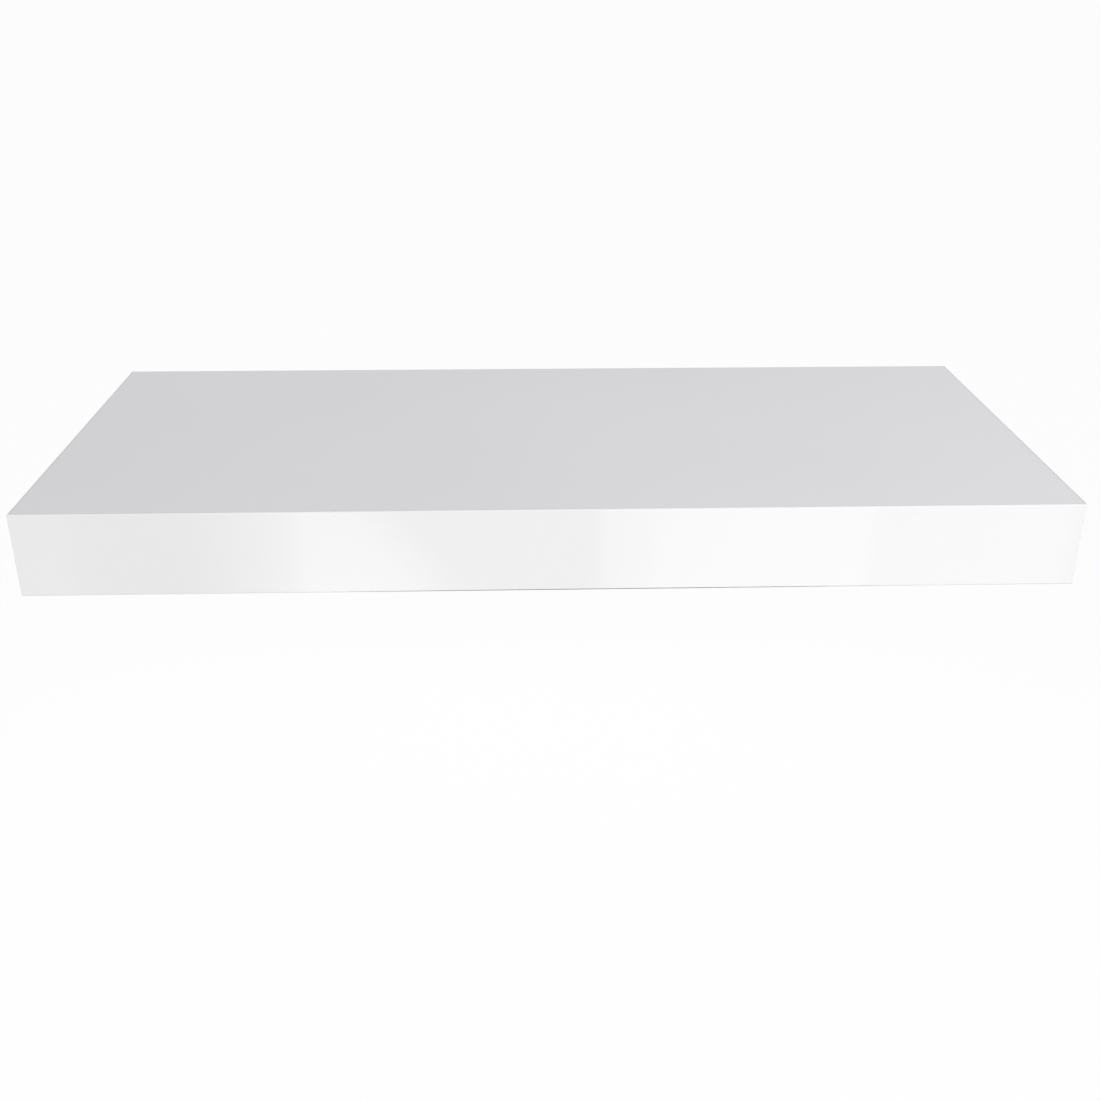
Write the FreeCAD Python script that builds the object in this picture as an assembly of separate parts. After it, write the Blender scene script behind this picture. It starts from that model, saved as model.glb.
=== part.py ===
"""Floating wall shelf: a hollow-core board that slides onto the two rods of a hidden steel wall bracket.

Units are millimetres. The origin is the middle of the bracket's wall face: +X runs along the shelf,
+Y points into the wall and +Z up, so the board reaches from the wall plane y = 0 forward to y = -DEPTH.
Each function below makes one piece, or one kind of piece. The last section writes one file per node.
"""

import FreeCAD
import Part

import math
import os

# Board
WIDTH = 600.0
DEPTH = 260.0
THICKNESS = 50.0
PANEL_THICKNESS = 3.0
BAND_THICKNESS = 1.0
EDGE_RADIUS = 0.6
EDGE_RADIUS_MAX_SHARE = 0.8
SEAM_CHAMFER = 0.15

# Frame inside the board
END_RAIL_WIDTH = 18.0
FRONT_RAIL_WIDTH = 18.0
REAR_RAIL_WIDTH = 30.0
BATTEN_WIDTH = 40.0
END_BAY_WIDTH = 101.0

# Paper honeycomb, expanded to fill its bay
CELL_WIDTH = 20.0
PAPER_THICKNESS = 0.4

# Wall bar
BAR_THICKNESS = 4.0
BAR_EDGE_CLEARANCE = 4.0
BAR_END_CLEARANCE = 41.0
BAR_CORNER_RADIUS = 4.0
BAR_EDGE_BREAK = 0.4
SCREW_HEAD_ROOM = 6.0
WALL_HOLE_DIAMETER = 6.5
WALL_HOLE_INSET = 20.0
SLOT_LENGTH = 16.0
SLOT_FROM_ROD = 80.0

# Support rods and the bores that they slide in
ROD_DIAMETER = 12.0
ROD_CLEARANCE = 0.3
ROD_TIP_CHAMFER = 1.5
SPIGOT_DIAMETER = 8.0
SPIGOT_CLEARANCE = 0.05
WELD_LEG = 3.0
WELD_CROWN = 0.5
BORE_MOUTH_CHAMFER = 1.0
BORE_END_ROOM = 6.0
BATTEN_NOSE = 51.0

# Lock screws, each in a threaded insert under its rod
LOCK_SETBACK = 70.0
LOCK_DIAMETER = 6.0
LOCK_PITCH = 1.0
LOCK_THREAD_DEPTH = 0.5
LOCK_TIP_CHAMFER = 1.0
LOCK_GAP = 0.1
LOCK_RECESS = 2.9
LOCK_THREAD_CLEARANCE = 0.1
LOCK_HOLE_CLEARANCE = 0.3
SOCKET_WIDTH = 3.0
SOCKET_DEPTH = 3.5
INSERT_DIAMETER = 10.0
INSERT_CLEARANCE = 0.05
INSERT_COVER = 5.7
INSERT_CHAMFER = 0.4
BARB_COUNT = 4
BARB_DEPTH = 0.5

# Planes of the board, worked out from the sizes above
BOARD_HALF = WIDTH / 2 - BAND_THICKNESS
INNER_HALF = BOARD_HALF - END_RAIL_WIDTH
SKIN_Z = THICKNESS / 2
CORE_Z = SKIN_Z - PANEL_THICKNESS
WALL_Y = 0.0
BAR_FACE_Y = WALL_Y - BAR_THICKNESS
REAR_RAIL_BACK_Y = BAR_FACE_Y - SCREW_HEAD_ROOM
REAR_RAIL_FRONT_Y = REAR_RAIL_BACK_Y - REAR_RAIL_WIDTH
FRONT_Y = WALL_Y - DEPTH
PANEL_FRONT_Y = FRONT_Y + BAND_THICKNESS
FRONT_RAIL_BACK_Y = PANEL_FRONT_Y + FRONT_RAIL_WIDTH

# Places of the rods, their bores and the lock screws
ROD_X = INNER_HALF - END_BAY_WIDTH - BATTEN_WIDTH / 2
BORE_RADIUS = ROD_DIAMETER / 2 + ROD_CLEARANCE
BORE_END_Y = FRONT_RAIL_BACK_Y + BATTEN_NOSE
ROD_TIP_Y = BORE_END_Y + BORE_END_ROOM
LOCK_Y = WALL_Y - LOCK_SETBACK
LOCK_TIP_Z = -(ROD_DIAMETER / 2 + LOCK_GAP)
LOCK_TAIL_Z = -(SKIN_Z - LOCK_RECESS)
INSERT_TOP_Z = -(BORE_RADIUS + INSERT_COVER)
SIDES = {"left": -1, "right": 1}

# Overlap that lets a cutting tool pass cleanly through the face that it starts from
TOOL_OVERRUN = 1.0

# Coordinates closer than this are the same
SAME_PLACE = 1e-6


def box(x_range, y_range, z_range):
    """A box between two limits on each axis, in either order."""
    low = [min(r) for r in (x_range, y_range, z_range)]
    size = [abs(r[1] - r[0]) for r in (x_range, y_range, z_range)]
    return Part.makeBox(*size, FreeCAD.Vector(*low))


def cylinder_y(radius, x, y_range, z=0.0):
    """A cylinder along Y, between two limits."""
    base = FreeCAD.Vector(x, min(y_range), z)
    return Part.makeCylinder(radius, abs(y_range[1] - y_range[0]), base, FreeCAD.Vector(0, 1, 0))


def cylinder_z(radius, x, y, z_range):
    """A cylinder along Z, between two limits."""
    base = FreeCAD.Vector(x, y, min(z_range))
    return Part.makeCylinder(radius, abs(z_range[1] - z_range[0]), base, FreeCAD.Vector(0, 0, 1))


def edges_where(shape, wanted):
    """The edges of a shape whose two ends and middle all satisfy a test on a point."""
    found = []
    for edge in shape.Edges:
        middle = edge.valueAt((edge.FirstParameter + edge.LastParameter) / 2)
        if all(wanted(p) for p in [middle] + [v.Point for v in edge.Vertexes]):
            found.append(edge)
    return found


def near(a, b):
    """True where two coordinates are the same, apart from rounding."""
    return abs(a - b) < SAME_PLACE


# Panels and edge bands


def panel(side):
    """The top (side 1) or bottom (side -1) fibreboard panel, eased where it meets the edge bands."""
    outer_z = side * SKIN_Z
    sheet = box((-BOARD_HALF, BOARD_HALF), (WALL_Y, PANEL_FRONT_Y), (outer_z, side * CORE_Z))

    def at_seam(p):
        return near(p.z, outer_z) and (near(abs(p.x), BOARD_HALF) or near(p.y, PANEL_FRONT_Y))

    return sheet.makeChamfer(SEAM_CHAMFER, edges_where(sheet, at_seam))


def bottom_panel():
    """The bottom panel, with a hole for each lock screw's insert."""
    sheet = panel(-1)
    for side in SIDES.values():
        hole = cylinder_z(
            INSERT_DIAMETER / 2 + INSERT_CLEARANCE,
            side * ROD_X,
            LOCK_Y,
            (-SKIN_Z - TOOL_OVERRUN, -CORE_Z + TOOL_OVERRUN),
        )
        sheet = sheet.cut(hole)
    return sheet


def band_radius():
    """The rounding of the board's outer edges, which takes at most a share of the band's thickness."""
    return min(EDGE_RADIUS, EDGE_RADIUS_MAX_SHARE * BAND_THICKNESS)


def front_edge_band():
    """The band along the whole front edge, rounded on every outer edge."""
    half = WIDTH / 2
    band = box((-half, half), (FRONT_Y, PANEL_FRONT_Y), (-SKIN_Z, SKIN_Z))
    inner = edges_where(band, lambda p: near(p.y, PANEL_FRONT_Y))
    outer = [e for e in band.Edges if not any(e.isSame(i) for i in inner)]
    return band.makeFillet(band_radius(), outer)


def end_edge_band(side):
    """The band on one end of the board, from the wall to the back of the front band."""
    outer_x = side * WIDTH / 2
    band = box((side * BOARD_HALF, outer_x), (WALL_Y, PANEL_FRONT_Y), (-SKIN_Z, SKIN_Z))

    def long_outer(p):
        return near(p.x, outer_x) and near(abs(p.z), SKIN_Z)

    return band.makeFillet(band_radius(), edges_where(band, long_outer))


# Frame inside the board


def end_rail(side):
    """The frame rail behind one end band."""
    return box((side * INNER_HALF, side * BOARD_HALF), (WALL_Y, PANEL_FRONT_Y), (-CORE_Z, CORE_Z))


def front_rail():
    """The frame rail behind the front band, between the end rails."""
    return box((-INNER_HALF, INNER_HALF), (PANEL_FRONT_Y, FRONT_RAIL_BACK_Y), (-CORE_Z, CORE_Z))


def bore_mouth(x):
    """The cone that opens a rod bore where the rod goes in."""
    return Part.makeCone(
        BORE_RADIUS,
        BORE_RADIUS + BORE_MOUTH_CHAMFER,
        BORE_MOUTH_CHAMFER,
        FreeCAD.Vector(x, REAR_RAIL_BACK_Y - BORE_MOUTH_CHAMFER, 0),
        FreeCAD.Vector(0, 1, 0),
    )


def rear_rail():
    """The rail set in from the wall to make room for the bar, bored for both rods."""
    rail = box(
        (-INNER_HALF, INNER_HALF), (REAR_RAIL_BACK_Y, REAR_RAIL_FRONT_Y), (-CORE_Z, CORE_Z)
    )
    through = (REAR_RAIL_FRONT_Y - TOOL_OVERRUN, REAR_RAIL_BACK_Y + TOOL_OVERRUN)
    for side in SIDES.values():
        rail = rail.cut(cylinder_y(BORE_RADIUS, side * ROD_X, through))
        rail = rail.cut(bore_mouth(side * ROD_X))
    return rail


def rod_batten(side):
    """The solid batten from rear rail to front rail that a rod carries, with its bore and lock hole."""
    x = side * ROD_X
    half = BATTEN_WIDTH / 2
    batten = box((x - half, x + half), (REAR_RAIL_FRONT_Y, FRONT_RAIL_BACK_Y), (-CORE_Z, CORE_Z))
    bore = cylinder_y(BORE_RADIUS, x, (REAR_RAIL_FRONT_Y + TOOL_OVERRUN, BORE_END_Y))
    insert_hole = cylinder_z(
        INSERT_DIAMETER / 2 + INSERT_CLEARANCE, x, LOCK_Y, (-CORE_Z - TOOL_OVERRUN, INSERT_TOP_Z)
    )
    screw_hole = cylinder_z(
        LOCK_DIAMETER / 2 + LOCK_HOLE_CLEARANCE, x, LOCK_Y, (INSERT_TOP_Z - TOOL_OVERRUN, 0)
    )
    return batten.cut(bore).cut(insert_hole).cut(screw_hole)


# Paper honeycomb


def mitred(points, distance):
    """The points of an open line moved sideways by a distance, to its left, with mitred corners."""
    normals = []
    for a, b in zip(points, points[1:]):
        length = math.hypot(b[0] - a[0], b[1] - a[1])
        normals.append(((a[1] - b[1]) / length, (b[0] - a[0]) / length))
    moved = []
    for i, (x, y) in enumerate(points):
        before = normals[max(i - 1, 0)]
        after = normals[min(i, len(normals) - 1)]
        share = distance / (1 + before[0] * after[0] + before[1] * after[1])
        moved.append((x + share * (before[0] + after[0]), y + share * (before[1] + after[1])))
    return moved


def ribbon_line(x_range, columns, y_low, y_high, starts_high):
    """The centre line of one paper ribbon: flats on two levels in turn, with half flats at its ends."""
    pitch = (x_range[1] - x_range[0]) / columns
    half_flat = pitch / 3
    points = []
    for k in range(columns + 1):
        level = y_high if (k % 2 == 0) == starts_high else y_low
        x = x_range[0] + k * pitch
        points.append((max(x - half_flat, x_range[0]), level))
        points.append((min(x + half_flat, x_range[1]), level))
    return points


def honeycomb(x_range):
    """The ribbons that fill one bay of the frame, each glued to the next where their flats meet."""
    y_range = (FRONT_RAIL_BACK_Y, REAR_RAIL_FRONT_Y)
    rows = max(1, round((y_range[1] - y_range[0]) / CELL_WIDTH))
    columns = max(1, round((x_range[1] - x_range[0]) / (CELL_WIDTH * math.sqrt(3) / 2)))
    strip = (y_range[1] - y_range[0]) / (2 * rows)
    ribbons = []
    for j in range(2 * rows):
        low = y_range[0] + j * strip + PAPER_THICKNESS / 2
        high = y_range[0] + (j + 1) * strip - PAPER_THICKNESS / 2
        line = ribbon_line(x_range, columns, low, high, starts_high=j % 2 == 0)
        outline = mitred(line, PAPER_THICKNESS / 2) + mitred(line, -PAPER_THICKNESS / 2)[::-1]
        corners = [FreeCAD.Vector(x, y, -CORE_Z) for x, y in outline]
        face = Part.Face(Part.makePolygon(corners + corners[:1]))
        ribbons.append(face.extrude(FreeCAD.Vector(0, 0, 2 * CORE_Z)))
    return Part.makeCompound(ribbons)


# Wall bracket


def wall_slot(x):
    """A level slot through the bar, with round ends."""
    radius = WALL_HOLE_DIAMETER / 2
    straight = SLOT_LENGTH / 2 - radius
    through = (BAR_FACE_Y - TOOL_OVERRUN, WALL_Y + TOOL_OVERRUN)
    middle = box((x - straight, x + straight), through, (-radius, radius))
    ends = [cylinder_y(radius, x + way * straight, through) for way in (-1, 1)]
    return middle.fuse(ends)


def wall_bar():
    """The flat steel bar, with a screw hole near each end, two slots and a hole for each rod's spigot."""
    half_length = INNER_HALF - BAR_END_CLEARANCE
    half_height = CORE_Z - BAR_EDGE_CLEARANCE
    bar = box((-half_length, half_length), (BAR_FACE_Y, WALL_Y), (-half_height, half_height))

    def at_corner(p):
        return near(abs(p.x), half_length) and near(abs(p.z), half_height)

    bar = bar.makeFillet(BAR_CORNER_RADIUS, edges_where(bar, at_corner))
    outline = edges_where(bar, lambda p: near(p.y, BAR_FACE_Y))
    bar = bar.makeChamfer(BAR_EDGE_BREAK, outline)
    through = (BAR_FACE_Y - TOOL_OVERRUN, WALL_Y + TOOL_OVERRUN)
    for side in SIDES.values():
        wall_hole_x = side * (half_length - WALL_HOLE_INSET)
        slot_x = side * (ROD_X - SLOT_FROM_ROD)
        bar = bar.cut(cylinder_y(WALL_HOLE_DIAMETER / 2, wall_hole_x, through))
        bar = bar.cut(wall_slot(slot_x))
        bar = bar.cut(cylinder_y(SPIGOT_DIAMETER / 2 + SPIGOT_CLEARANCE, side * ROD_X, through))
    return bar


def support_rod(side):
    """A rod whose spigot passes through the bar to the wall face, with a chamfered tip."""
    x = side * ROD_X
    rod = cylinder_y(ROD_DIAMETER / 2, x, (BAR_FACE_Y, ROD_TIP_Y))
    rod = rod.makeChamfer(ROD_TIP_CHAMFER, edges_where(rod, lambda p: near(p.y, ROD_TIP_Y)))
    return rod.fuse(cylinder_y(SPIGOT_DIAMETER / 2, x, (BAR_FACE_Y, WALL_Y))).removeSplitter()


def rod_weld(side):
    """The fillet weld round a rod where it meets the bar, a little crowned."""
    x = side * ROD_X
    inner = ROD_DIAMETER / 2
    toe_bar = FreeCAD.Vector(x + inner + WELD_LEG, BAR_FACE_Y, 0)
    toe_rod = FreeCAD.Vector(x + inner, BAR_FACE_Y - WELD_LEG, 0)
    root = FreeCAD.Vector(x + inner, BAR_FACE_Y, 0)
    outward = FreeCAD.Vector(1, -1, 0).normalize()
    crown = (toe_bar + toe_rod) * 0.5 + outward * WELD_CROWN
    profile = Part.Wire(
        [
            Part.LineSegment(root, toe_bar).toShape(),
            Part.Arc(toe_bar, crown, toe_rod).toShape(),
            Part.LineSegment(toe_rod, root).toShape(),
        ]
    )
    return Part.Face(profile).revolve(FreeCAD.Vector(x, 0, 0), FreeCAD.Vector(0, 1, 0), 360)


# Lock screws


def turned(x, y, profile):
    """A solid turned about a vertical axis from (radius, z) points that start and end on the axis."""
    corners = [FreeCAD.Vector(x + r, y, z) for r, z in profile]
    face = Part.Face(Part.makePolygon(corners + corners[:1]))
    return face.revolve(FreeCAD.Vector(x, y, 0), FreeCAD.Vector(0, 0, 1), 360)


def lock_insert(side):
    """The threaded insert pressed in from below, flush with the underside and barbed outside."""
    x = side * ROD_X
    outer = INSERT_DIAMETER / 2
    pitch = (INSERT_TOP_Z + SKIN_Z) / BARB_COUNT
    profile = [(0, -SKIN_Z)]
    for k in range(BARB_COUNT):
        foot = -SKIN_Z + k * pitch
        profile += [(outer, foot), (outer, foot + pitch / 2), (outer - BARB_DEPTH, foot + pitch)]
    profile.append((0, INSERT_TOP_Z))
    insert = turned(x, LOCK_Y, profile)
    bore_radius = LOCK_DIAMETER / 2 + LOCK_THREAD_CLEARANCE
    bore = cylinder_z(bore_radius, x, LOCK_Y, (-SKIN_Z - TOOL_OVERRUN, INSERT_TOP_Z + TOOL_OVERRUN))
    mouth = Part.makeCone(
        bore_radius + INSERT_CHAMFER,
        bore_radius,
        INSERT_CHAMFER,
        FreeCAD.Vector(x, LOCK_Y, -SKIN_Z),
        FreeCAD.Vector(0, 0, 1),
    )
    return insert.cut(bore).cut(mouth)


def lock_screw(side):
    """The socket set screw that clamps a rod, with thread ridges, a blunt tip and a hexagon socket."""
    x = side * ROD_X
    crest = LOCK_DIAMETER / 2
    root = crest - LOCK_THREAD_DEPTH
    threaded_from = LOCK_TAIL_Z + LOCK_THREAD_DEPTH
    threaded_to = LOCK_TIP_Z - LOCK_TIP_CHAMFER
    turns = max(1, round((threaded_to - threaded_from) / LOCK_PITCH))
    pitch = (threaded_to - threaded_from) / turns
    profile = [(0, LOCK_TAIL_Z), (root, LOCK_TAIL_Z)]
    for k in range(turns):
        foot = threaded_from + k * pitch
        profile += [(root, foot), (crest, foot + pitch / 2)]
    profile += [(root, threaded_to), (crest - LOCK_TIP_CHAMFER, LOCK_TIP_Z), (0, LOCK_TIP_Z)]
    screw = turned(x, LOCK_Y, profile)
    corner = SOCKET_WIDTH / math.sqrt(3)
    hexagon = [
        FreeCAD.Vector(
            x + corner * math.cos(k * math.pi / 3),
            LOCK_Y + corner * math.sin(k * math.pi / 3),
            LOCK_TAIL_Z - TOOL_OVERRUN,
        )
        for k in range(6)
    ]
    socket = Part.Face(Part.makePolygon(hexagon + hexagon[:1]))
    return screw.cut(socket.extrude(FreeCAD.Vector(0, 0, SOCKET_DEPTH + TOOL_OVERRUN)))


# All pieces by node name


def pieces():
    """Every node's name and shape."""
    batten_inner = ROD_X - BATTEN_WIDTH / 2
    batten_outer = ROD_X + BATTEN_WIDTH / 2
    made = {
        "top_panel": panel(1),
        "bottom_panel": bottom_panel(),
        "front_edge_band": front_edge_band(),
        "front_rail": front_rail(),
        "rear_rail": rear_rail(),
        "honeycomb_left": honeycomb((-INNER_HALF, -batten_outer)),
        "honeycomb_centre": honeycomb((-batten_inner, batten_inner)),
        "honeycomb_right": honeycomb((batten_outer, INNER_HALF)),
        "wall_bar": wall_bar(),
    }
    for name, side in SIDES.items():
        made[f"{name}_edge_band"] = end_edge_band(side)
        made[f"{name}_end_rail"] = end_rail(side)
        made[f"{name}_rod_batten"] = rod_batten(side)
        made[f"{name}_support_rod"] = support_rod(side)
        made[f"{name}_rod_weld"] = rod_weld(side)
        made[f"{name}_lock_insert"] = lock_insert(side)
        made[f"{name}_lock_screw"] = lock_screw(side)
    return made


os.makedirs("parts", exist_ok=True)
for node, shape in pieces().items():
    if not shape.isValid() or shape.Volume <= 0:
        raise ValueError(f"{node} is not a valid solid")
    shape.exportStep(f"parts/{node}.step")
    print(f"{node}: {len(shape.Solids)} solid(s), {shape.Volume / 1000:.2f} cm3")
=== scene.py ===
"""Looks of the floating wall shelf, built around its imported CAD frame.

Lengths are metres in the part's own frame: +X along the shelf, +Y into the wall, +Z up, wall plane at y = 0.
The board, its frame and the steel bracket are CAD nodes with procedural materials. The weld beads, the lock
screws and the inserts are modelled here, with ripples and threads, and stand for their plain CAD nodes.
"""

import math

import bmesh
import bpy
from mathutils import Matrix, Vector


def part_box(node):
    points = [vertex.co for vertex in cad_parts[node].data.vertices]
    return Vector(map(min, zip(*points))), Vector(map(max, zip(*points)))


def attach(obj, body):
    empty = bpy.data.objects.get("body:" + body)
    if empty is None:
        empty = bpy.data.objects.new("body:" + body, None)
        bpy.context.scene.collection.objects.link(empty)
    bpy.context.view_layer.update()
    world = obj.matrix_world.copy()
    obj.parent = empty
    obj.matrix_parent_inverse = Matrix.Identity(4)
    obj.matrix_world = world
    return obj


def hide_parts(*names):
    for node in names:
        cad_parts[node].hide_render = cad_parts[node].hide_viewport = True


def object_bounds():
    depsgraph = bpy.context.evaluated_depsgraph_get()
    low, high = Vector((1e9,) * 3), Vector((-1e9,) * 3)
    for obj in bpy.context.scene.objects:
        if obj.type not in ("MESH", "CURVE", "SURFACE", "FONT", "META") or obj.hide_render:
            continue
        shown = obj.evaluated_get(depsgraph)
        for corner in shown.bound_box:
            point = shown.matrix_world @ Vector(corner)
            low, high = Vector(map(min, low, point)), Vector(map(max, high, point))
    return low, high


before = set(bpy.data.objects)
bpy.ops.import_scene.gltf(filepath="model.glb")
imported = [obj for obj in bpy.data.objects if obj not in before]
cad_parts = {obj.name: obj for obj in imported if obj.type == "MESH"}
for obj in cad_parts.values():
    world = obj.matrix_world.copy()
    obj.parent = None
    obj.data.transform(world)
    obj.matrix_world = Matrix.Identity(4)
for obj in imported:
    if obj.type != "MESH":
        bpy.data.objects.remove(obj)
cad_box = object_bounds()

MM = 0.001
X_AXIS = 0
Y_AXIS = 1
SIDES = ("left", "right")
MIRRORS = (Vector((-1, 1, 1)), Vector((1, 1, 1)))
WHITE = (1.0, 1.0, 1.0)

# Camera, from the corners of the board in the photograph
PHOTO_PX = 1100
FOCAL_PX = 1277.0
SENSOR_WIDTH_MM = 36.0
CAMERA_PLACE = Vector((-0.0222, -0.9084, 0.3080))
CAMERA_DOWN_DEG = 25.367
CAMERA_YAW_DEG = -1.918
CAMERA_ROLL_DEG = 0.691

# Floor and world
FLOOR_Z = -1.1
FLOOR_HALF_SIZE = 60.0
CAMERA_REACH = 4 * FLOOR_HALF_SIZE
FLOOR_GLOW = 0.956
FLOOR_SHADOW_SHARE = 0.045
FLOOR_BOUNCE = 0.60
BACKDROP_GLOW = 0.974
AMBIENT_COLOUR = (0.949, 0.918, 1.0)
AMBIENT_STRENGTH = 0.426

# Softboxes, seen in no reflection: a wide one well in front, so that the board keeps its tone when it is
# drawn out, a key above the right end, and low ones at the ends and behind
FRONT_BOX_PLACE = Vector((0.6, -4.9, 1.8))
FRONT_BOX_SIZE = (4.2, 2.1)
FRONT_BOX_RADIANCE = 4.95
FRONT_BOX_COLOUR = (0.983, 1.0, 0.950)
KEY_PLACE = Vector((0.6, -0.9, 0.9))
KEY_SIZE = (0.7, 0.7)
KEY_RADIANCE = 2.59
END_BOX_PLACE = Vector((2.0, 0.12, -0.35))
END_BOX_SIZE = (0.8, 0.8)
END_BOX_RADIANCE = 3.6
REAR_BOX_PLACE = Vector((0.0, 1.8, -0.4))
REAR_BOX_SIZE = (1.6, 0.6)
REAR_BOX_RADIANCE = 3.0

# Cards in front, seen only in reflections and placed by where the camera sees them along the board's
# front. Each starts where the one before it ends. Its right edge is an x at the front's middle height, and
# may lean by a step in x for each step up, across the front only. Its glow runs from left to right, and is
# stronger below.
CARD_ROW = 3.0
CARD_FOOT = -0.15
CARD_HEAD = 0.25
CARD_FOOT_GAIN = 1.2
CARD_LEAN = -0.71
CARD_LEAN_REACH = 0.035
FRONT_CARDS_START = -0.750
FRONT_CARDS = (
    dict(name="left_card", right=-0.268, glow=(1.25, 1.25)),
    dict(name="shade_card", right=-0.205, glow=(0.85, 0.75)),
    dict(name="ramp_card", right=-0.144, glow=(0.75, 2.35)),
    dict(name="bright_card", right=-0.097, right_lean=CARD_LEAN, glow=(3.10, 3.10)),
    dict(name="fading_card", right=-0.064, right_lean=CARD_LEAN, glow=(3.05, 1.75)),
    dict(name="dim_card", right=0.026, glow=(1.75, 1.55)),
    dict(name="white_card", right=0.058, glow=(2.60, 2.75)),
    dict(name="broad_card", right=0.180, glow=(3.15, 3.15)),
    dict(name="right_card", right=0.294, glow=(2.50, 2.50)),
    dict(name="edge_card", right=0.750, glow=(1.85, 1.20)),
)

# Cards for the other sides, seen only in reflections, one on the right and its mirror image on the left
PAIRED_CARDS = (
    dict(name="rear_sky_card", centre=Vector((2.0, 1.4, 0.9)), size=(1.0, 0.8), glow=(1.80, 1.80)),
    dict(name="front_sky_card", centre=Vector((1.5, -1.6, 0.55)), size=(1.0, 0.6), glow=(1.40, 1.40)),
    dict(name="end_card", centre=END_BOX_PLACE, size=END_BOX_SIZE, glow=(2.80, 2.20)),
    dict(name="rear_card", centre=Vector((1.2, 1.6, -0.55)), size=(1.6, 1.0), glow=(1.30, 0.45)),
)

# Dim flags under the board, for the reflections of the bracket's metal, which fade out at their feet and
# heads
FLAG_Y = -0.20
FLAG_GAP = 0.005
FLAG_HEIGHT = 0.22
FLAG_FADE = 0.045
FLAGS = (
    dict(name="left_flag", left=-0.29, right=0.0, glow=(0.45, 1.0)),
    dict(name="right_flag", left=0.0, right=0.29, glow=(1.0, 0.45)),
)

# Materials. A pattern's scale is in features per metre, tones are stops of linear colour along a pattern,
# and relief is a height. A span is the stretch of a pattern's values that is carried to a range, such as a
# roughness, and the usual one has most of a noise's values.
NOISE_SPAN = (0.3, 0.7)

# White gloss of the panels and the bands
LACQUER_GREYS = (0.847, 0.863)
LACQUER_PEEL = 0.006 * MM
BAND_GREYS = (0.850, 0.864)
BAND_PEEL = 0.004 * MM
GLOSS_DRIFT_SPAN = (0.35, 0.65)
GLOSS_WAVE = 0.02 * MM
GLOSS_ROUGHNESS = (0.055, 0.08)

# Rounded foot of the bands, with a painted shadow line: where along x it is darkest, how far to each side
# it fades out, and how light the foot is there, in patches
FOOT_SHADOW_X = 0.035
FOOT_SHADOW_REACH = (0.06, 0.16)
FOOT_SHADOW_LIGHTNESS = (0.1, 1.05)
FOOT_SHADOW_PATCH_SPAN = (0.35, 0.65)
FOOT_SHADOW_PATCHES = (-0.15, 0.15)
FOOT_SHADOW_TONES = ((0.0, (0.05, 0.048, 0.046)), (0.5, (0.32, 0.318, 0.315)), (1.0, (0.85, 0.85, 0.85)))
EDGE_SCRAPE_STRETCH = (0.05, 0.05, 1.0)
EDGE_SCRAPE_RELIEF = 0.01 * MM
EDGE_ROUGHNESS = (0.55, 0.8)
EDGE_SHINE = 0.2

# Glue line in the seams
GLUE_TONES = ((0.3, (0.34, 0.335, 0.33)), (0.7, (0.55, 0.55, 0.55)))
GLUE_ROUGHNESS = 0.55

# Raw fibreboard
FIBRE_STRETCH = (1.0, 1.0, 6.0)
FIBRE_TONES = ((0.25, (0.13, 0.075, 0.036)), (0.5, (0.25, 0.15, 0.078)), (0.8, (0.37, 0.25, 0.145)))
FIBRE_SPAN = (0.2, 0.8)
FIBRE_RELIEF = 0.08 * MM
FIBRE_ROUGHNESS = (0.62, 0.85)
BLOTCH_COLOUR = (0.30, 0.20, 0.12)
BLOTCH_SPAN = (0.35, 0.7)
BLOTCH_SHARE = (0.0, 0.35)

# Particleboard: turns of its chips about the board's thin axis in radians, how many times longer and how
# many times thinner they are than wide, the zone where coarse chips give way to fine ones, as shares of half
# the board's thickness, and the fine dust over all
CHIP_TURNS = (0.35, 1.50, -0.60, 2.15, 0.95)
CHIP_LENGTH = 4.2
CHIP_FLATNESS = 2.8
CHIP_WOBBLE = 0.6 * MM
CORE_CHIPS_PER_METRE = 340.0
SKIN_CHIPS_PER_METRE = 620.0
SKIN_ZONE = (0.62, 0.88)
CHIP_TONES = (
    (0.0, (0.22, 0.13, 0.06)),
    (0.1, (0.40, 0.265, 0.14)),
    (0.4, (0.54, 0.385, 0.22)),
    (0.75, (0.66, 0.50, 0.31)),
    (1.0, (0.78, 0.64, 0.44)),
)
CHIP_RIM_COLOUR = (0.17, 0.10, 0.048)
CHIP_RIM_SPAN = (0.5, 0.85)
CHIP_RIM_SHARE = (0.0, 0.7)
CHIP_RELIEF = 0.25 * MM
CHIP_RELIEF_STRENGTH = 0.7
DUST_TONES = ((0.3, (0.46, 0.33, 0.19)), (0.7, (0.66, 0.51, 0.33)))
DUST_SHARE = 0.35
DUST_SPAN = (0.2, 0.8)
DUST_RELIEF = 0.1 * MM
DUST_RELIEF_STRENGTH = 0.6
DUST_ROUGHNESS = (0.7, 0.92)

# Kraft paper
PAPER_STRETCH = (1.0, 1.0, 0.35)
PAPER_TONES = ((0.3, (0.30, 0.195, 0.10)), (0.55, (0.42, 0.29, 0.16)), (0.75, (0.53, 0.39, 0.24)))
PAPER_ROUGHNESS = 0.85
PAPER_COCKLE = 0.3 * MM
PAPER_RELIEF = 0.05 * MM

# Zinc plating, with the tints of its clouds as shares of its colour
ZINC_COLOUR = (0.47, 0.48, 0.495)
ZINC_COOL = (0.93, 0.98, 1.06)
ZINC_WARM = (1.05, 1.02, 0.93)
ZINC_CLOUD_STOPS = (0.32, 0.5, 0.68)
ZINC_CLOUD_ROUGHNESS = (0.24, 0.36)
ZINC_STREAK_STRETCH = 0.02
ZINC_STREAK_SHADE = (0.86, 1.08)
ZINC_STREAK_ROUGHNESS = (0.0, 0.1)
ZINC_STREAK_RELIEF = 0.006 * MM

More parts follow.
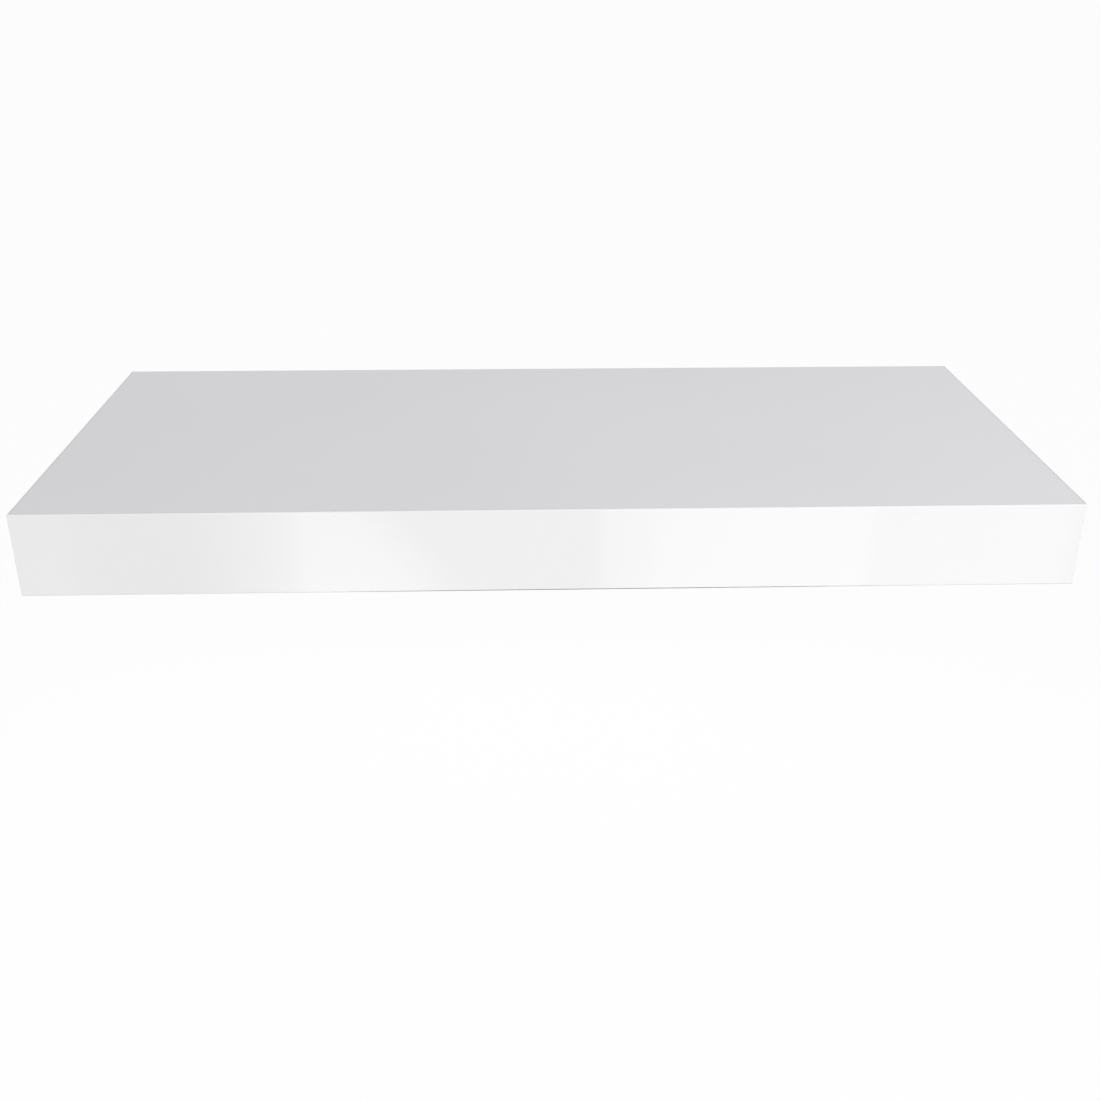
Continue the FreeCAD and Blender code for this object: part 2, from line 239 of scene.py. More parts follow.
# Weld metal
WELD_TONES = ((0.3, (0.34, 0.335, 0.33)), (0.55, (0.47, 0.47, 0.475)), (0.75, (0.58, 0.57, 0.55)))
WELD_ROUGHNESS = (0.3, 0.48)
WELD_GRIT = 0.02 * MM

# Brass
BRASS_TONES = ((0.3, (0.50, 0.34, 0.12)), (0.55, (0.72, 0.53, 0.22)), (0.8, (0.80, 0.62, 0.30)))
BRASS_ROUGHNESS = (0.36, 0.24)
BRASS_RING_RELIEF = 0.03 * MM

# Black oxide
OXIDE_TONES = ((0.35, (0.018, 0.018, 0.02)), (0.6, (0.045, 0.043, 0.042)), (0.8, (0.11, 0.10, 0.09)))
OXIDE_METALLIC = 0.85
OXIDE_ROUGHNESS = (0.42, 0.28)
OXIDE_GRIT = 0.01 * MM

# Faces of the CAD meshes, told apart by how far their normals point up or out
PANEL_FACE_LIFT = 0.95
PANEL_SEAM_LIFT = 0.3
BAND_FOOT_RISE = (-0.95, -0.05)

# Lock screw details
SCREW_SIDES = 72
THREAD_PITCH = 1.0 * MM
THREAD_DEPTH = 0.5 * MM
THREAD_STEPS_PER_PITCH = 10
THREAD_CREST_SHARE = 0.2
SCREW_TIP_CHAMFER = 1.0 * MM
SOCKET_WIDTH = 3.0 * MM
SOCKET_DEPTH = 3.5 * MM
SOCKET_MOUTH_RADIUS = 1.8 * MM
SOCKET_MOUTH_DEPTH = 0.3 * MM
SOCKET_DRILL_DEPTH = 0.6 * MM
SOCKET_DRILL_TIP_RADIUS = 0.3 * MM
CUP_RADIUS = 1.5 * MM
CUP_DEPTH = 0.8 * MM
CUP_TIP_RADIUS = 0.15 * MM

# Insert details
INSERT_SIDES = 72
INSERT_BORE_RADIUS = 3.1 * MM
INSERT_GROOVE_DEPTH = 0.35 * MM
INSERT_MOUTH_CHAMFER = 0.4 * MM
INSERT_BARBS = 4
INSERT_BARB_DEPTH = 0.5 * MM

# Weld bead details: how many ripples lie round it, how far they bow and how fast they rise, and how the
# bead strays from its line in slow and quick waves
WELD_SIDES = 288
WELD_STEPS_ACROSS = 14
WELD_CROWN = 0.42 * MM
WELD_RIPPLES = 34
WELD_RIPPLE_HEIGHT = 0.13 * MM
WELD_RIPPLE_BOW = 1.3
WELD_RIPPLE_POWER = 0.6
WELD_WANDER = 0.18 * MM
WELD_SLOW_WAVES = 3
WELD_SLOW_START = 0.7
WELD_QUICK_WAVES = 7
WELD_QUICK_SHARE = 0.6

# Edges of the new meshes that turn by more than this stay sharp
SHARP_EDGE_DEG = 35

# Sockets of a Mix node by number, because several share a name
MIX_SHARE = 0
MIX_VALUE_A = 2
MIX_VALUE_B = 3
MIX_COLOUR_A = 6
MIX_COLOUR_B = 7
MIX_VALUE_RESULT = 0
MIX_COLOUR_RESULT = 2


# Node tree helpers


def grey(level):
    """The grey of a level."""
    return (level, level, level)


def opaque(colour):
    """A colour with full alpha."""
    return (*colour, 1.0)


def add(tree, kind, inputs=None, **settings):
    """A new node with its settings, and its inputs set to values or linked to sockets."""
    made = tree.nodes.new(kind)
    for key, value in settings.items():
        setattr(made, key, value)
    for key, value in (inputs or {}).items():
        if isinstance(value, bpy.types.NodeSocket):
            tree.links.new(value, made.inputs[key])
        else:
            made.inputs[key].default_value = value
    return made


def material(name):
    """A new material, with its node tree and its Principled shader."""
    made = bpy.data.materials.new(name)
    made.use_nodes = True
    tree = made.node_tree
    tree.nodes.clear()
    shader = add(tree, "ShaderNodeBsdfPrincipled")
    add(tree, "ShaderNodeOutputMaterial", {"Surface": shader.outputs["BSDF"]})
    return made, tree, shader


def place(tree, stretch=(1.0, 1.0, 1.0)):
    """The place on the part, in metres, multiplied along each axis."""
    coordinates = add(tree, "ShaderNodeTexCoord")
    inputs = {"Vector": coordinates.outputs["Object"], "Scale": stretch}
    return add(tree, "ShaderNodeMapping", inputs).outputs["Vector"]


def along_axes(tree, vector):
    """A vector's three parts."""
    return add(tree, "ShaderNodeSeparateXYZ", {"Vector": vector}).outputs


def noise(tree, vector, scale, detail=2.0, roughness=0.5, distortion=0.0):
    """Soft noise from 0 to 1."""
    inputs = {"Vector": vector, "Scale": scale, "Detail": detail}
    inputs |= {"Roughness": roughness, "Distortion": distortion}
    return add(tree, "ShaderNodeTexNoise", inputs).outputs["Fac"]


def cells(tree, vector, scale):
    """A Voronoi pattern: the distance from each cell's middle, and two numbers from 0 to 1 for each cell."""
    made = add(tree, "ShaderNodeTexVoronoi", {"Vector": vector, "Scale": scale})
    numbers = add(tree, "ShaderNodeSeparateColor", {"Color": made.outputs["Color"]})
    return made.outputs["Distance"], numbers.outputs["Red"], numbers.outputs["Green"]


def ramp(tree, value, stops):
    """Colours along a value, from (position, colour) stops."""
    made = add(tree, "ShaderNodeValToRGB", {"Fac": value})
    elements = made.color_ramp.elements
    while len(elements) < len(stops):
        elements.new(1.0)
    for element, (position, colour) in zip(elements, stops):
        element.position = position
        element.color = opaque(colour)
    return made.outputs["Color"]


def remap(tree, value, old, new):
    """A value carried from one range to another, held at the ends."""
    inputs = {"Value": value, "From Min": old[0], "From Max": old[1], "To Min": new[0], "To Max": new[1]}
    return add(tree, "ShaderNodeMapRange", inputs).outputs["Result"]


def math_node(tree, operation, a, b=0.0):
    """One arithmetic step on two values."""
    return add(tree, "ShaderNodeMath", {0: a, 1: b}, operation=operation).outputs["Value"]


def vector_node(tree, operation, a, b):
    """One arithmetic step on two vectors."""
    return add(tree, "ShaderNodeVectorMath", {0: a, 1: b}, operation=operation).outputs["Vector"]


def mix_colour(tree, share, a, b, mode="MIX"):
    """Colour a turned into colour b by a share."""
    inputs = {MIX_SHARE: share, MIX_COLOUR_A: a, MIX_COLOUR_B: b}
    return add(tree, "ShaderNodeMix", inputs, data_type="RGBA", blend_type=mode).outputs[MIX_COLOUR_RESULT]


def mix_value(tree, share, a, b):
    """Value a turned into value b by a share."""
    inputs = {MIX_SHARE: share, MIX_VALUE_A: a, MIX_VALUE_B: b}
    return add(tree, "ShaderNodeMix", inputs).outputs[MIX_VALUE_RESULT]


def bump(tree, pattern, relief, strength=1.0, under=None):
    """A normal bent by a pattern in relief, on top of another bent normal."""
    inputs = {"Height": pattern, "Distance": relief, "Strength": strength}
    if under is not None:
        inputs["Normal"] = under
    return add(tree, "ShaderNodeBump", inputs).outputs["Normal"]


# Materials


def white_gloss(name, greys, peel_relief):
    """White gloss with a slow drift in tone, faint haze in its shine, orange peel and a slight long wave."""
    made, tree, shader = material(name)
    at = place(tree)
    drift = noise(tree, at, scale=5.0)
    tone = ramp(tree, drift, [(stop, grey(level)) for stop, level in zip(GLOSS_DRIFT_SPAN, greys)])
    tree.links.new(tone, shader.inputs["Base Color"])
    haze = noise(tree, at, scale=45.0, detail=5.0, roughness=0.6)
    tree.links.new(remap(tree, haze, NOISE_SPAN, GLOSS_ROUGHNESS), shader.inputs["Roughness"])
    wave = bump(tree, noise(tree, at, scale=14.0, detail=1.0), GLOSS_WAVE)
    peel = bump(tree, noise(tree, at, scale=420.0), peel_relief, under=wave)
    tree.links.new(peel, shader.inputs["Normal"])
    return made


def painted_foot_shadow():
    """The rounded foot of the bands: a painted shadow line, darkest near the board's middle, with scraped
    roughness and relief.
    """
    made, tree, shader = material("painted_foot_shadow")
    at = place(tree)
    from_shadow_middle = math_node(tree, "SUBTRACT", along_axes(tree, at)["X"], FOOT_SHADOW_X)
    distance = math_node(tree, "ABSOLUTE", from_shadow_middle)
    patches = remap(tree, noise(tree, at, scale=24.0, detail=3.0), FOOT_SHADOW_PATCH_SPAN, FOOT_SHADOW_PATCHES)
    # Painted shadow: the foot's colour is darkest at the middle of the front and lightens with distance from
    # it
    lightness = math_node(tree, "ADD", remap(tree, distance, FOOT_SHADOW_REACH, FOOT_SHADOW_LIGHTNESS), patches)
    tree.links.new(ramp(tree, lightness, FOOT_SHADOW_TONES), shader.inputs["Base Color"])
    shader.inputs["Specular IOR Level"].default_value = EDGE_SHINE
    scrapes = noise(tree, place(tree, EDGE_SCRAPE_STRETCH), scale=900.0, detail=3.0)
    tree.links.new(remap(tree, scrapes, NOISE_SPAN, EDGE_ROUGHNESS), shader.inputs["Roughness"])
    tree.links.new(bump(tree, scrapes, EDGE_SCRAPE_RELIEF), shader.inputs["Normal"])
    return made


def glue_seam():
    """The fine grey glue line in the groove between a panel and an edge band."""
    made, tree, shader = material("glue_seam")
    grime = noise(tree, place(tree), scale=260.0, detail=3.0)
    tree.links.new(ramp(tree, grime, GLUE_TONES), shader.inputs["Base Color"])
    shader.inputs["Roughness"].default_value = GLUE_ROUGHNESS
    return made


def raw_fibreboard():
    """The brown pressed fibre of a panel's cut edge and inner face."""
    made, tree, shader = material("raw_fibreboard")
    fibres = noise(tree, place(tree, FIBRE_STRETCH), scale=900.0, detail=6.0, roughness=0.7, distortion=0.6)
    blotches = noise(tree, place(tree), scale=70.0, detail=3.0)
    blotched = remap(tree, blotches, BLOTCH_SPAN, BLOTCH_SHARE)
    tone = mix_colour(tree, blotched, ramp(tree, fibres, FIBRE_TONES), opaque(BLOTCH_COLOUR))
    tree.links.new(tone, shader.inputs["Base Color"])
    tree.links.new(remap(tree, fibres, FIBRE_SPAN, FIBRE_ROUGHNESS), shader.inputs["Roughness"])
    tree.links.new(bump(tree, fibres, FIBRE_RELIEF), shader.inputs["Normal"])
    return made


def flat_chips(tree, at, thin_axis, turn, scale):
    """Flat chips turned about a thin axis: darkness at their rims, a tint, and a rank for which is on top."""
    long_axis = Y_AXIS if thin_axis == X_AXIS else X_AXIS
    size = [1.0, 1.0, 1.0]
    size[thin_axis] = 1 / CHIP_FLATNESS
    size[long_axis] = CHIP_LENGTH
    rotation = [0.0, 0.0, 0.0]
    rotation[thin_axis] = turn
    inputs = {"Vector": at, "Rotation": rotation, "Scale": size}
    turned = add(tree, "ShaderNodeMapping", inputs, vector_type="TEXTURE")
    return cells(tree, turned.outputs["Vector"], scale)


def chip_layer(tree, at, thin_axis, scale):
    """Chips at every turn in equal shares, each shown whole where it lies over those of the turns before."""
    rim, tint, _ = flat_chips(tree, at, thin_axis, CHIP_TURNS[0], scale)
    for below, turn in enumerate(CHIP_TURNS[1:], start=1):
        over_rim, over_tint, rank = flat_chips(tree, at, thin_axis, turn, scale)
        shown = math_node(tree, "GREATER_THAN", rank, below / (below + 1))
        rim = mix_value(tree, shown, rim, over_rim)
        tint = mix_value(tree, shown, tint, over_tint)
    return rim, tint


def particleboard(name, thin_axis, centre, half_thickness):
    """Pressed wood chips that lie flat in a board, coarse in its core and fine near its two faces."""
    made, tree, shader = material(name)
    at = place(tree)
    warp = add(tree, "ShaderNodeTexNoise", {"Vector": at, "Scale": 700.0, "Detail": 2.0})
    wobble = vector_node(tree, "MULTIPLY", warp.outputs["Color"], (CHIP_WOBBLE,) * 3)
    wobbled = vector_node(tree, "ADD", at, wobble)
    core_rim, core_tint = chip_layer(tree, wobbled, thin_axis, CORE_CHIPS_PER_METRE)
    skin_rim, skin_tint = chip_layer(tree, wobbled, thin_axis, SKIN_CHIPS_PER_METRE)
    from_middle = math_node(tree, "SUBTRACT", along_axes(tree, at)[thin_axis], centre)
    skin_zone = [share * half_thickness for share in SKIN_ZONE]
    skin = remap(tree, math_node(tree, "ABSOLUTE", from_middle), skin_zone, (0.0, 1.0))
    rim = mix_value(tree, skin, core_rim, skin_rim)
    tint = mix_value(tree, skin, core_tint, skin_tint)
    dust = noise(tree, at, scale=1500.0, detail=4.0, roughness=0.7)
    dusty = mix_colour(tree, DUST_SHARE, ramp(tree, tint, CHIP_TONES), ramp(tree, dust, DUST_TONES))
    dark = remap(tree, rim, CHIP_RIM_SPAN, CHIP_RIM_SHARE)
    tree.links.new(mix_colour(tree, dark, dusty, opaque(CHIP_RIM_COLOUR)), shader.inputs["Base Color"])
    tree.links.new(remap(tree, dust, DUST_SPAN, DUST_ROUGHNESS), shader.inputs["Roughness"])
    crown = math_node(tree, "SUBTRACT", 1.0, rim)
    chips = bump(tree, crown, CHIP_RELIEF, CHIP_RELIEF_STRENGTH)
    tree.links.new(bump(tree, dust, DUST_RELIEF, DUST_RELIEF_STRENGTH, chips), shader.inputs["Normal"])
    return made


def kraft_paper():
    """Brown kraft paper with fibres and faint cockle."""
    made, tree, shader = material("kraft_paper")
    fibres = noise(tree, place(tree, PAPER_STRETCH), scale=700.0, detail=5.0, roughness=0.65)
    tree.links.new(ramp(tree, fibres, PAPER_TONES), shader.inputs["Base Color"])
    shader.inputs["Roughness"].default_value = PAPER_ROUGHNESS
    cockle = bump(tree, noise(tree, place(tree), scale=90.0), PAPER_COCKLE)
    tree.links.new(bump(tree, fibres, PAPER_RELIEF, under=cockle), shader.inputs["Normal"])
    return made


def zinc_plate(name, along):
    """Zinc plating over drawn steel, with fine streaks along one axis and clouds of passivation."""
    made, tree, shader = material(name)
    streak_stretch = [1.0, 1.0, 1.0]
    streak_stretch[along] = ZINC_STREAK_STRETCH
    streaks = noise(tree, place(tree, streak_stretch), scale=1900.0, detail=3.0, roughness=0.6)
    clouds = noise(tree, place(tree), scale=38.0, detail=4.0, roughness=0.6, distortion=0.8)
    tints = (ZINC_COOL, WHITE, ZINC_WARM)
    colours = [[part * share for part, share in zip(ZINC_COLOUR, tint)] for tint in tints]
    cloudy = ramp(tree, clouds, list(zip(ZINC_CLOUD_STOPS, colours)))
    shade = remap(tree, streaks, NOISE_SPAN, ZINC_STREAK_SHADE)
    tree.links.new(mix_colour(tree, 1.0, cloudy, shade, "MULTIPLY"), shader.inputs["Base Color"])
    shader.inputs["Metallic"].default_value = 1.0
    cloud_haze = remap(tree, clouds, NOISE_SPAN, ZINC_CLOUD_ROUGHNESS)
    streak_haze = remap(tree, streaks, NOISE_SPAN, ZINC_STREAK_ROUGHNESS)
    tree.links.new(math_node(tree, "ADD", cloud_haze, streak_haze), shader.inputs["Roughness"])
    tree.links.new(bump(tree, streaks, ZINC_STREAK_RELIEF), shader.inputs["Normal"])
    return made


def weld_zinc():
    """Plated weld metal: duller than the bar, with soot-dark clouds and a fine grit."""
    made, tree, shader = material("weld_metal")
    at = place(tree)
    clouds = noise(tree, at, scale=420.0, detail=4.0, roughness=0.6)
    tree.links.new(ramp(tree, clouds, WELD_TONES), shader.inputs["Base Color"])
    shader.inputs["Metallic"].default_value = 1.0
    tree.links.new(remap(tree, clouds, NOISE_SPAN, WELD_ROUGHNESS), shader.inputs["Roughness"])
    grit = noise(tree, at, scale=1600.0, detail=3.0)
    tree.links.new(bump(tree, grit, WELD_GRIT), shader.inputs["Normal"])
    return made


def from_insert_axis(tree, at):
    """The distance from the axis of the nearer insert: the inserts mirror each other across x = 0."""
    low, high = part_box("right_lock_insert")
    axis = (low + high) / 2
    parts = along_axes(tree, at)
    across = math_node(tree, "SUBTRACT", math_node(tree, "ABSOLUTE", parts["X"]), axis.x)
    along = math_node(tree, "SUBTRACT", parts["Y"], axis.y)
    squares = [math_node(tree, "POWER", part, 2.0) for part in (across, along)]
    return math_node(tree, "SQRT", math_node(tree, "ADD", *squares))


def turned_brass():
    """Brass with fine turning rings about each insert's axis and a little tarnish."""
    made, tree, shader = material("insert_brass")
    at = place(tree)
    tarnish = noise(tree, at, scale=300.0, detail=4.0, roughness=0.6)
    tree.links.new(ramp(tree, tarnish, BRASS_TONES), shader.inputs["Base Color"])
    shader.inputs["Metallic"].default_value = 1.0
    tree.links.new(remap(tree, tarnish, NOISE_SPAN, BRASS_ROUGHNESS), shader.inputs["Roughness"])
    radius = add(tree, "ShaderNodeCombineXYZ", {"X": from_insert_axis(tree, at)})
    rings = noise(tree, radius.outputs["Vector"], scale=3500.0, detail=3.0)
    tree.links.new(bump(tree, rings, BRASS_RING_RELIEF), shader.inputs["Normal"])
    return made


def black_oxide():
    """Oiled black-oxide steel, a touch brown where it has rubbed."""
    made, tree, shader = material("black_oxide_steel")
    at = place(tree)
    rubbed = noise(tree, at, scale=520.0, detail=5.0, roughness=0.65)
    tree.links.new(ramp(tree, rubbed, OXIDE_TONES), shader.inputs["Base Color"])
    shader.inputs["Metallic"].default_value = OXIDE_METALLIC
    tree.links.new(remap(tree, rubbed, NOISE_SPAN, OXIDE_ROUGHNESS), shader.inputs["Roughness"])
    grit = noise(tree, at, scale=3000.0, detail=3.0)
    tree.links.new(bump(tree, grit, OXIDE_GRIT), shader.inputs["Normal"])
    return made


# Materials on the CAD nodes


def paint(node, materials, choose=None):
    """Gives a CAD node its materials, each face taking the one that choose picks from its normal."""
    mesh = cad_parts[node].data
    mesh.materials.clear()
    for each in materials:
        mesh.materials.append(each)
    for face in mesh.polygons:
        face.material_index = choose(face.normal) if choose else 0


def paint_panel(node, gloss, seam, raw, outward):
    """A panel is gloss on its outer face, glue-grey on the eased seam edges and raw fibre elsewhere."""

    def choose(normal):
        lift = normal.z * outward
        if lift > PANEL_FACE_LIFT:
            return 0
        return 1 if lift > PANEL_SEAM_LIFT else 2

    paint(node, [gloss, seam, raw], choose)


def paint_band(node, gloss, edge):
    """A band is gloss, with a painted shadow line along its rounded foot."""
    lowest, highest = BAND_FOOT_RISE
    paint(node, [gloss, edge], lambda normal: 1 if lowest < normal.z < highest else 0)


def paint_particleboard(node, thin_axis):
    """A rail or batten has chips that lie flat across its thin axis."""
    low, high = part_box(node)
    centre = (low[thin_axis] + high[thin_axis]) / 2
    half_thickness = (high[thin_axis] - low[thin_axis]) / 2
    paint(node, [particleboard(f"particleboard_{node}", thin_axis, centre, half_thickness)])


def dress_board():
    """Materials of the panels, edge bands, frame rails, battens and honeycomb."""
    gloss = white_gloss("white_gloss_lacquer", LACQUER_GREYS, LACQUER_PEEL)
    band = white_gloss("white_gloss_band", BAND_GREYS, BAND_PEEL)
    seam = glue_seam()
    raw = raw_fibreboard()
    # The bands' rounded foot carries a painted shadow line, darkest near the front's middle
    edge = painted_foot_shadow()
    paint_panel("top_panel", gloss, seam, raw, outward=1)
    paint_panel("bottom_panel", gloss, seam, raw, outward=-1)
    for node in ("front_edge_band", "left_edge_band", "right_edge_band"):
        paint_band(node, band, edge)
    for node in ("front_rail", "rear_rail"):
        paint_particleboard(node, Y_AXIS)
    for side in SIDES:
        paint_particleboard(f"{side}_end_rail", X_AXIS)
        paint_particleboard(f"{side}_rod_batten", X_AXIS)
    paper = kraft_paper()
    for node in ("honeycomb_left", "honeycomb_centre", "honeycomb_right"):
        paint(node, [paper])


def dress_bracket():
    """Materials of the wall bar and the rods."""
    paint("wall_bar", [zinc_plate("zinc_plate_bar", along=X_AXIS)])
    rod_zinc = zinc_plate("zinc_plate_rod", along=Y_AXIS)
    for side in SIDES:
        paint(f"{side}_support_rod", [rod_zinc])


# Meshes that stand for CAD nodes


def mesh_from_rings(name, rings, closed):
    """Quads between rings of points, closed from the last ring to the first or else by poles at the ends."""
    bm = bmesh.new()
    made = [[bm.verts.new(point) for point in ring] for ring in rings]
    pairs = list(zip(made, made[1:]))
    if closed:
        pairs.append((made[-1], made[0]))
    for ring, after in pairs:
        for i in range(len(ring)):
            j = (i + 1) % len(ring)
            bm.faces.new((ring[i], ring[j], after[j], after[i]))
    if not closed:
        for ring in (made[0], made[-1]):
            pole = bm.verts.new(sum((corner.co for corner in ring), Vector()) / len(ring))
            for i in range(len(ring)):
                bm.faces.new((ring[i], ring[(i + 1) % len(ring)], pole))
    bmesh.ops.recalc_face_normals(bm, faces=bm.faces)
    mesh = bpy.data.meshes.new(name)
    bm.to_mesh(mesh)
    bm.free()
    for face in mesh.polygons:
        face.use_smooth = True
    mesh.set_sharp_from_angle(angle=math.radians(SHARP_EDGE_DEG))
    piece = bpy.data.objects.new(name, mesh)
    bpy.context.scene.collection.objects.link(piece)
    return piece


def stand_for(piece, node, body, look):
    """Puts a piece in the place of a CAD node, on its body and material."""
    piece.data.materials.append(look)
    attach(piece, body)
    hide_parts(node)


def even_steps(start, end, steps):
    """Values from a start to an end in even steps."""
    return [start + (end - start) * k / steps for k in range(steps + 1)]


def turned_ring(centre, z, radius_at, sides):
    """Points round a vertical axis, at the radius given for each angle."""
    points = []
    for i in range(sides):
        angle = 2 * math.pi * i / sides
        radius = radius_at(angle)
        points.append(Vector((centre.x + radius * math.cos(angle), centre.y + radius * math.sin(angle), z)))
    return points


def thread_height(angle, z):
    """How far up its flank a right-hand thread is at a place, from 0 in the root to 1 on the crest."""
    turn = (z / THREAD_PITCH - angle / (2 * math.pi)) % 1.0
    flank = 1.0 - abs(2.0 * turn - 1.0)
    return min(1.0, flank / (1.0 - THREAD_CREST_SHARE))


def thread_steps(length):
    """How many rings a threaded length needs."""
    return round(length / THREAD_PITCH * THREAD_STEPS_PER_PITCH)


def hexagon_radius(angle):
    """Distance from the axis to the socket's wall at an angle."""
    from_flat = (angle % (math.pi / 3)) - math.pi / 6
    return SOCKET_WIDTH / 2 / math.cos(from_flat)


def lock_screw(side, look):
    """A socket set screw with a helical thread, a hexagon socket in its tail and a cup point."""
    node = f"{side}_lock_screw"
    low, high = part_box(node)
    centre = (low + high) / 2
    tail, tip = low.z, high.z
    crest = (high.x - low.x) / 2
    root = crest - THREAD_DEPTH
    tip_flat = crest - SCREW_TIP_CHAMFER

    def ring(z, radius_at):
        return turned_ring(centre, z, radius_at, SCREW_SIDES)

    def plain(z, radius):
        return ring(z, lambda angle: radius)

    def outside(z):
        def radius_at(angle):
            threaded = root + THREAD_DEPTH * thread_height(angle, z)
            return min(threaded, root + (z - tail), tip_flat + (tip - z))
        return radius_at

    rings = [
        plain(tail + SOCKET_DEPTH + SOCKET_DRILL_DEPTH, SOCKET_DRILL_TIP_RADIUS),
        ring(tail + SOCKET_DEPTH, hexagon_radius),
        ring(tail + SOCKET_MOUTH_DEPTH, hexagon_radius),
        plain(tail, SOCKET_MOUTH_RADIUS),
    ]
    rings += [ring(z, outside(z)) for z in even_steps(tail, tip, thread_steps(tip - tail))]
    rings += [plain(tip, CUP_RADIUS), plain(tip - CUP_DEPTH, CUP_TIP_RADIUS)]
    piece = mesh_from_rings(f"{side}_set_screw", rings, closed=False)
    stand_for(piece, node, node, look)


def lock_insert(side, look):
    """A barbed press-in insert with thread grooves in its bore, flush with the underside."""
    node = f"{side}_lock_insert"
    low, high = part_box(node)
    centre = (low + high) / 2
    outer = (high.x - low.x) / 2
    valley = outer - INSERT_BARB_DEPTH

    def ring(z, radius_at):
        return turned_ring(centre, z, radius_at, INSERT_SIDES)

    def plain(z, radius):
        return ring(z, lambda angle: radius)

    def bore(z):
        mouth = INSERT_BORE_RADIUS + max(0.0, low.z + INSERT_MOUTH_CHAMFER - z)

        def radius_at(angle):
            groove = INSERT_BORE_RADIUS + INSERT_GROOVE_DEPTH * thread_height(angle, z)
            return max(groove, mouth)
        return radius_at

    barb = (high.z - low.z) / INSERT_BARBS
    rings = []
    for k in range(INSERT_BARBS):
        foot = low.z + k * barb
        rings += [plain(foot, outer), plain(foot + barb / 2, outer), plain(foot + barb, valley)]
    rings += [ring(z, bore(z)) for z in even_steps(high.z, low.z, thread_steps(high.z - low.z))]
    piece = mesh_from_rings(f"{side}_threaded_insert", rings, closed=True)
    stand_for(piece, node, "shelf", look)


def weld_wander(angle):
    """How far the bead strays from its line at an angle round the rod, from -1 to 1."""
    slow = math.sin(WELD_SLOW_WAVES * angle + WELD_SLOW_START)
    quick = WELD_QUICK_SHARE * math.sin(WELD_QUICK_WAVES * angle)
    return (slow + quick) / (1 + WELD_QUICK_SHARE)


def weld_swell(angle, across):
    """How far the bead stands proud of a straight fillet, at an angle and a share of the way across it."""
    bow = WELD_RIPPLE_BOW * (1 - (2 * across - 1) ** 2)
    phase = (angle * WELD_RIPPLES / (2 * math.pi) + bow) % 1.0
    ripple = WELD_RIPPLE_HEIGHT * phase**WELD_RIPPLE_POWER
    return (WELD_CROWN + ripple) * math.sin(math.pi * across)


def weld_bead(side, look):
    """A fillet weld laid round a rod: overlapping crescents that wander a little, within the CAD bead."""
    node = f"{side}_rod_weld"
    low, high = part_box(node)
    centre = (low + high) / 2
    leg = high.y - low.y
    inner = (high.x - low.x) / 2 - leg
    diagonal = math.sqrt(0.5)
    rings = []
    for i in range(WELD_SIDES):
        angle = 2 * math.pi * i / WELD_SIDES
        reach = leg - WELD_WANDER + WELD_WANDER * weld_wander(angle)
        profile = [(inner, high.y)]
        for across in even_steps(0.0, 1.0, WELD_STEPS_ACROSS):
            proud = weld_swell(angle, across) * diagonal
            profile.append((inner + reach * (1 - across) + proud, high.y - reach * across - proud))
        cosine, sine = math.cos(angle), math.sin(angle)
        rings.append([
            Vector((centre.x + radius * cosine, y, centre.z + radius * sine))
            for radius, y in profile
        ])
    piece = mesh_from_rings(f"{side}_weld_bead", rings, closed=True)
    stand_for(piece, node, "bracket", look)


# Studio


def shown_white(tree):
    """1 for rays from the camera, a glossy surface or glass, and 0 for light that falls on the part."""
    path = add(tree, "ShaderNodeLightPath")
    seen = math_node(tree, "MAXIMUM", path.outputs["Is Camera Ray"], path.outputs["Is Glossy Ray"])
    return math_node(tree, "MAXIMUM", seen, path.outputs["Is Transmission Ray"])


def mix_shader(tree, share, a, b):
    """Shader node a turned into shader node b by a share."""
    return add(tree, "ShaderNodeMixShader", {0: share, 1: a.outputs[0], 2: b.outputs[0]}).outputs["Shader"]


def background(tree, colour, strength):
    """Even light from all round."""
    return add(tree, "ShaderNodeBackground", {"Color": opaque(colour), "Strength": strength})


def make_world():
    """Soft, even light from all round, seen as plain white."""
    world = bpy.data.worlds.new("studio")
    bpy.context.scene.world = world
    world.use_nodes = True
    tree = world.node_tree
    tree.nodes.clear()
    ambient = background(tree, AMBIENT_COLOUR, AMBIENT_STRENGTH)
    backdrop = background(tree, WHITE, BACKDROP_GLOW)
    mixed = mix_shader(tree, shown_white(tree), ambient, backdrop)
    add(tree, "ShaderNodeOutputWorld", {"Surface": mixed})


def glowing_material(name):
    """A new material whose glow lights nothing, with its empty node tree."""
    look = bpy.data.materials.new(name)
    look.cycles.emission_sampling = "NONE"
    look.use_nodes = True
    look.node_tree.nodes.clear()
    return look, look.node_tree


def make_floor():
    """A wide pale floor, seen as white apart from the part's faint shadow."""
    bm = bmesh.new()
    bmesh.ops.create_grid(bm, x_segments=1, y_segments=1, size=FLOOR_HALF_SIZE)
    mesh = bpy.data.meshes.new("floor")
    bm.to_mesh(mesh)
    bm.free()
    floor = bpy.data.objects.new("floor", mesh)
    floor.location.z = FLOOR_Z
    bpy.context.scene.collection.objects.link(floor)
    look, tree = glowing_material("floor")
    bounce = add(tree, "ShaderNodeBsdfDiffuse", {"Color": opaque(grey(FLOOR_BOUNCE))})
    glow = add(tree, "ShaderNodeEmission", {"Color": opaque(WHITE), "Strength": FLOOR_GLOW})
    shadowed = add(tree, "ShaderNodeBsdfDiffuse", {"Color": opaque(grey(FLOOR_SHADOW_SHARE))})
    seen = add(tree, "ShaderNodeAddShader", {0: glow.outputs[0], 1: shadowed.outputs[0]})
    mixed = mix_shader(tree, shown_white(tree), bounce, seen)
    add(tree, "ShaderNodeOutputMaterial", {"Surface": mixed})
    mesh.materials.append(look)


